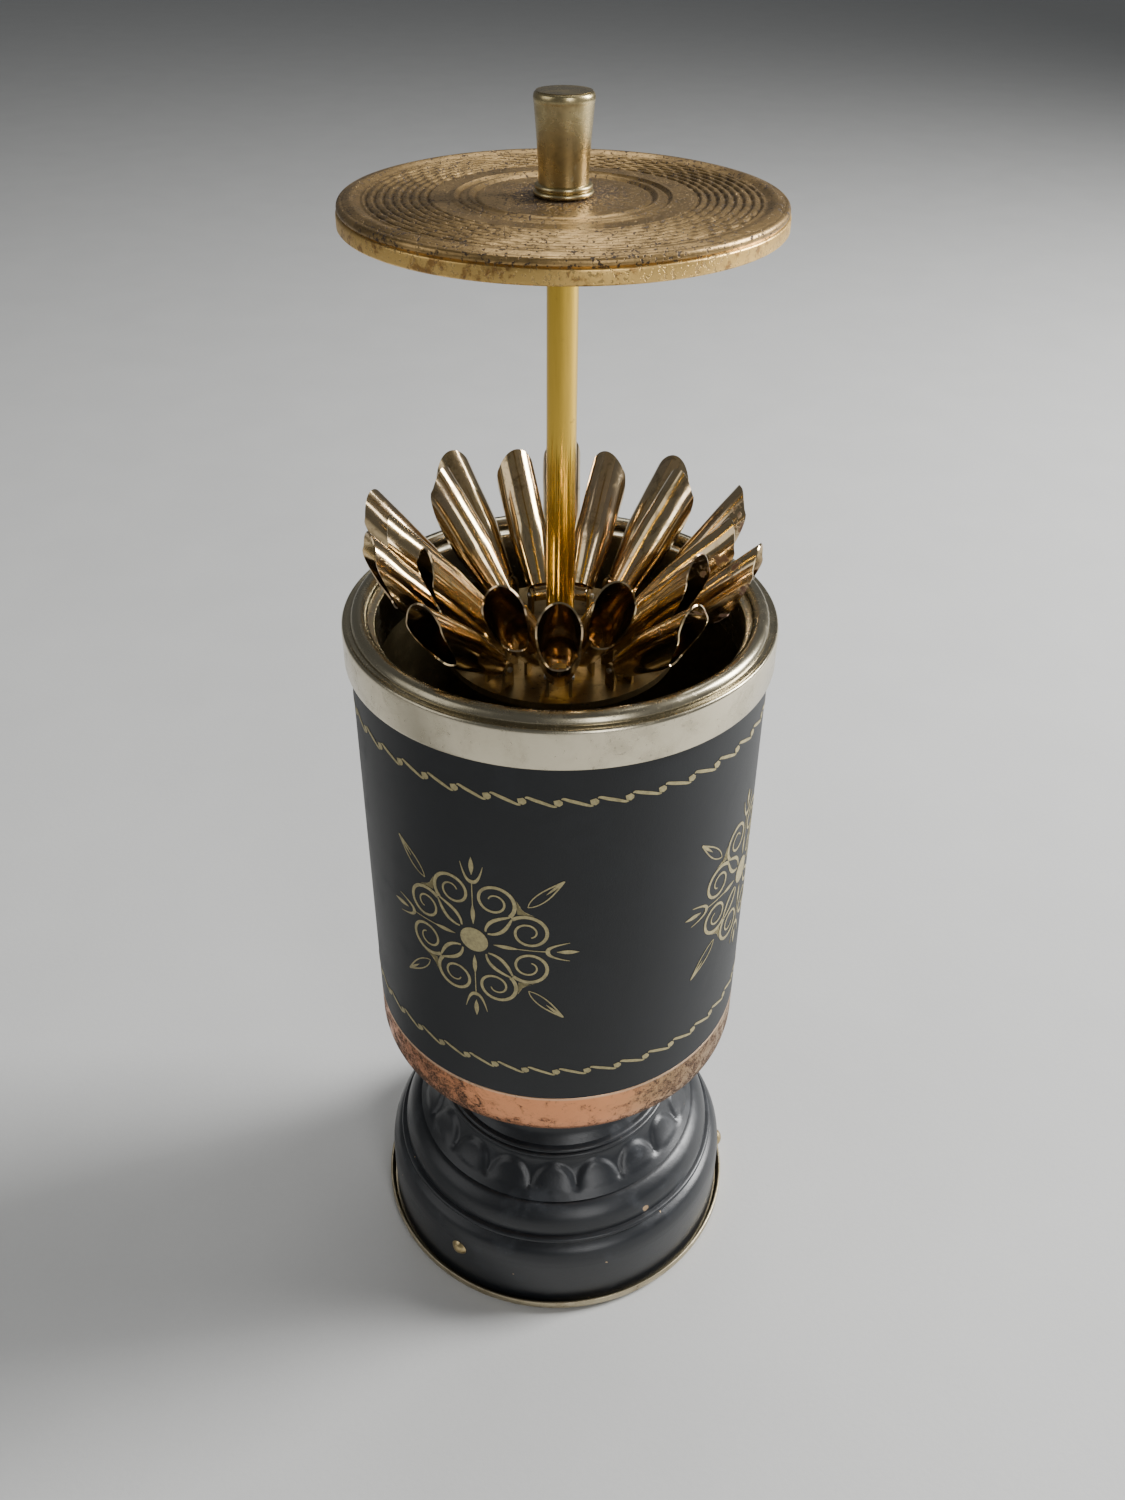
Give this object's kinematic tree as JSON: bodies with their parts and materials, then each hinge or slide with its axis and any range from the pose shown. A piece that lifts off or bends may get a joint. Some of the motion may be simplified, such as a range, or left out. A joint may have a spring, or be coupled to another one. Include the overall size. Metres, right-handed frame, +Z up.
{
  "type": "musical cigarette carousel",
  "caption": "Round musical cigarette dispenser: a cup on a bell-shaped pedestal, with a pull-up lid on a rod that lifts a hub and fans rolled sheet holders over the rim.",
  "frame": {"origin": "centre of the base, on the floor", "axes": "+Z up along the rod, -Y the front, +X to the right"},
  "size_m": [0.0964, 0.0964, 0.287],
  "materials": {
    "tray_brass": "satin",
    "felt": "matte",
    "fibre": "matte",
    "steel": "satin",
    "black_enamel": "satin",
    "sleeve_black": "satin",
    "screw_brass": "polished",
    "beech": "matte",
    "copper": "satin",
    "cup_brass": "satin",
    "rim_nickel": "satin",
    "movement_brass": "polished",
    "rod_brass": "polished",
    "hub_brass": "satin",
    "lid_brass": "satin",
    "lid_liner": "matte",
    "knob_nickel": "polished",
    "holder_brass": "polished"
  },
  "bodies": {
    "pedestal": {"pedestal_drum": "black_enamel", "pedestal_bell": "black_enamel", "pedestal_neck": "black_enamel", "pedestal_cap": "black_enamel", "bell_screws": "screw_brass", "movement_block": "beech", "thrust_ring": "fibre", "neck_bush": "movement_brass", "neck_nut": "steel", "foot_band": "copper", "cup_can": "cup_brass", "outer_sleeve": "sleeve_black", "rim_ring": "rim_nickel", "bedplate": "movement_brass", "movement_bridge": "movement_brass", "comb": "steel", "bridge_posts": "movement_brass"},
    "winding_tray": {"base_tray": "tray_brass", "tray_felt": "felt", "winding_arbor": "steel"},
    "drive": {"spring_barrel": "movement_brass", "mainspring": "steel", "guide_post": "steel"},
    "cylinder": {"pin_cylinder": "movement_brass"},
    "governor_fly": {"governor": "movement_brass"},
    "carriage": {"rod_tube": "rod_brass", "rod_bush": "movement_brass", "holder_hub": "hub_brass", "hinge_pins": "steel", "lid_plate": "lid_brass", "lid_liner": "lid_liner", "knob_stud": "steel", "knob": "knob_nickel"},
    "holder_01": {"holder_01": "holder_brass"},
    "holder_02": {"holder_02": "holder_brass"},
    "holder_03": {"holder_03": "holder_brass"},
    "holder_04": {"holder_04": "holder_brass"},
    "holder_05": {"holder_05": "holder_brass"},
    "holder_06": {"holder_06": "holder_brass"},
    "holder_07": {"holder_07": "holder_brass"},
    "holder_08": {"holder_08": "holder_brass"},
    "holder_09": {"holder_09": "holder_brass"},
    "holder_10": {"holder_10": "holder_brass"},
    "holder_11": {"holder_11": "holder_brass"},
    "holder_12": {"holder_12": "holder_brass"},
    "holder_13": {"holder_13": "holder_brass"},
    "holder_14": {"holder_14": "holder_brass"},
    "holder_15": {"holder_15": "holder_brass"},
    "holder_16": {"holder_16": "holder_brass"},
    "holder_17": {"holder_17": "holder_brass"},
    "holder_18": {"holder_18": "holder_brass"},
    "holder_19": {"holder_19": "holder_brass"},
    "holder_20": {"holder_20": "holder_brass"}
  },
  "joints": [
    {"name": "tray_wind", "type": "hinge", "parent": "pedestal", "child": "winding_tray", "pos_m": [0, 0, 0.001], "axis": [0, 0, 1], "continuous": true},
    {"name": "carousel_turn", "type": "hinge", "parent": "pedestal", "child": "drive", "pos_m": [0, 0, 0.06], "axis": [0, 0, 1], "continuous": true},
    {"name": "cylinder_turn", "type": "hinge", "parent": "pedestal", "child": "cylinder", "pos_m": [0.02165, 0, 0.02], "axis": [0, 0, 1], "continuous": true},
    {"name": "governor_turn", "type": "hinge", "parent": "pedestal", "child": "governor_fly", "pos_m": [0.02165, 0.01025, 0.02], "axis": [0, 0, 1], "continuous": true},
    {"name": "lid_lift", "type": "slide", "parent": "drive", "child": "carriage", "axis": [0, 0, 1], "range_m": [-0.08, 0]},
    {"name": "fold_01", "type": "hinge", "parent": "carriage", "child": "holder_01", "pos_m": [0, -0.0211, 0.1825], "axis": [1, 0, 0], "range_deg": [-41.01, 0]},
    {"name": "fold_02", "type": "hinge", "parent": "carriage", "child": "holder_02", "pos_m": [0.0124, -0.01707, 0.1825], "axis": [0.809, 0.5878, 0], "range_deg": [-48.83, 0]},
    {"name": "fold_03", "type": "hinge", "parent": "carriage", "child": "holder_03", "pos_m": [0.02007, -0.00652, 0.1825], "axis": [0.309, 0.9511, 0], "range_deg": [-45.12, 0]},
    {"name": "fold_04", "type": "hinge", "parent": "carriage", "child": "holder_04", "pos_m": [0.02007, 0.00652, 0.1825], "axis": [-0.309, 0.9511, 0], "range_deg": [-42.77, 0]},
    {"name": "fold_05", "type": "hinge", "parent": "carriage", "child": "holder_05", "pos_m": [0.0124, 0.01707, 0.1825], "axis": [-0.809, 0.5878, 0], "range_deg": [-49.94, 0]},
    {"name": "fold_06", "type": "hinge", "parent": "carriage", "child": "holder_06", "pos_m": [0, 0.0211, 0.1825], "axis": [-1, 0, 0], "range_deg": [-41.71, 0]},
    {"name": "fold_07", "type": "hinge", "parent": "carriage", "child": "holder_07", "pos_m": [-0.0124, 0.01707, 0.1825], "axis": [-0.809, -0.5878, 0], "range_deg": [-46.67, 0]},
    {"name": "fold_08", "type": "hinge", "parent": "carriage", "child": "holder_08", "pos_m": [-0.02007, 0.00652, 0.1825], "axis": [-0.309, -0.9511, 0], "range_deg": [-47.59, 0]},
    {"name": "fold_09", "type": "hinge", "parent": "carriage", "child": "holder_09", "pos_m": [-0.02007, -0.00652, 0.1825], "axis": [0.309, -0.9511, 0], "range_deg": [-41.28, 0]},
    {"name": "fold_10", "type": "hinge", "parent": "carriage", "child": "holder_10", "pos_m": [-0.0124, -0.01707, 0.1825], "axis": [0.809, -0.5878, 0], "range_deg": [-49.67, 0]},
    {"name": "fold_11", "type": "hinge", "parent": "carriage", "child": "holder_11", "pos_m": [0.00439, -0.0135, 0.1825], "axis": [0.9511, 0.309, 0], "range_deg": [-41.32, 0]},
    {"name": "fold_12", "type": "hinge", "parent": "carriage", "child": "holder_12", "pos_m": [0.01149, -0.00835, 0.1825], "axis": [0.5878, 0.809, 0], "range_deg": [-41.81, 0]},
    {"name": "fold_13", "type": "hinge", "parent": "carriage", "child": "holder_13", "pos_m": [0.0142, 0, 0.1825], "axis": [0, 1, 0], "range_deg": [-46.47, 0]},
    {"name": "fold_14", "type": "hinge", "parent": "carriage", "child": "holder_14", "pos_m": [0.01149, 0.00835, 0.1825], "axis": [-0.5878, 0.809, 0], "range_deg": [-39.1, 0]},
    {"name": "fold_15", "type": "hinge", "parent": "carriage", "child": "holder_15", "pos_m": [0.00439, 0.0135, 0.1825], "axis": [-0.9511, 0.309, 0], "range_deg": [-45.3, 0]},
    {"name": "fold_16", "type": "hinge", "parent": "carriage", "child": "holder_16", "pos_m": [-0.00439, 0.0135, 0.1825], "axis": [-0.9511, -0.309, 0], "range_deg": [-43.53, 0]},
    {"name": "fold_17", "type": "hinge", "parent": "carriage", "child": "holder_17", "pos_m": [-0.01149, 0.00835, 0.1825], "axis": [-0.5878, -0.809, 0], "range_deg": [-39.95, 0]},
    {"name": "fold_18", "type": "hinge", "parent": "carriage", "child": "holder_18", "pos_m": [-0.0142, 0, 0.1825], "axis": [0, -1, 0], "range_deg": [-47.01, 0]},
    {"name": "fold_19", "type": "hinge", "parent": "carriage", "child": "holder_19", "pos_m": [-0.01149, -0.00835, 0.1825], "axis": [0.5878, -0.809, 0], "range_deg": [-40.18, 0]},
    {"name": "fold_20", "type": "hinge", "parent": "carriage", "child": "holder_20", "pos_m": [-0.00439, -0.0135, 0.1825], "axis": [0.9511, -0.309, 0], "range_deg": [-43.18, 0]}
  ],
  "couplings": [
    {"joint": "cylinder_turn", "follows": "carousel_turn", "ratio": -2},
    {"joint": "governor_turn", "follows": "carousel_turn", "ratio": 4.8},
    {"joint": "fold_01", "follows": "lid_lift", "rad_per_m": 8.9448},
    {"joint": "fold_02", "follows": "lid_lift", "rad_per_m": 10.65},
    {"joint": "fold_03", "follows": "lid_lift", "rad_per_m": 9.841},
    {"joint": "fold_04", "follows": "lid_lift", "rad_per_m": 9.3289},
    {"joint": "fold_05", "follows": "lid_lift", "rad_per_m": 10.893},
    {"joint": "fold_06", "follows": "lid_lift", "rad_per_m": 9.0986},
    {"joint": "fold_07", "follows": "lid_lift", "rad_per_m": 10.181},
    {"joint": "fold_08", "follows": "lid_lift", "rad_per_m": 10.38},
    {"joint": "fold_09", "follows": "lid_lift", "rad_per_m": 9.004},
    {"joint": "fold_10", "follows": "lid_lift", "rad_per_m": 10.834},
    {"joint": "fold_11", "follows": "lid_lift", "rad_per_m": 9.0123},
    {"joint": "fold_12", "follows": "lid_lift", "rad_per_m": 9.1187},
    {"joint": "fold_13", "follows": "lid_lift", "rad_per_m": 10.137},
    {"joint": "fold_14", "follows": "lid_lift", "rad_per_m": 8.5292},
    {"joint": "fold_15", "follows": "lid_lift", "rad_per_m": 9.8817},
    {"joint": "fold_16", "follows": "lid_lift", "rad_per_m": 9.4951},
    {"joint": "fold_17", "follows": "lid_lift", "rad_per_m": 8.7126},
    {"joint": "fold_18", "follows": "lid_lift", "rad_per_m": 10.253},
    {"joint": "fold_19", "follows": "lid_lift", "rad_per_m": 8.7641},
    {"joint": "fold_20", "follows": "lid_lift", "rad_per_m": 9.4192}
  ]
}
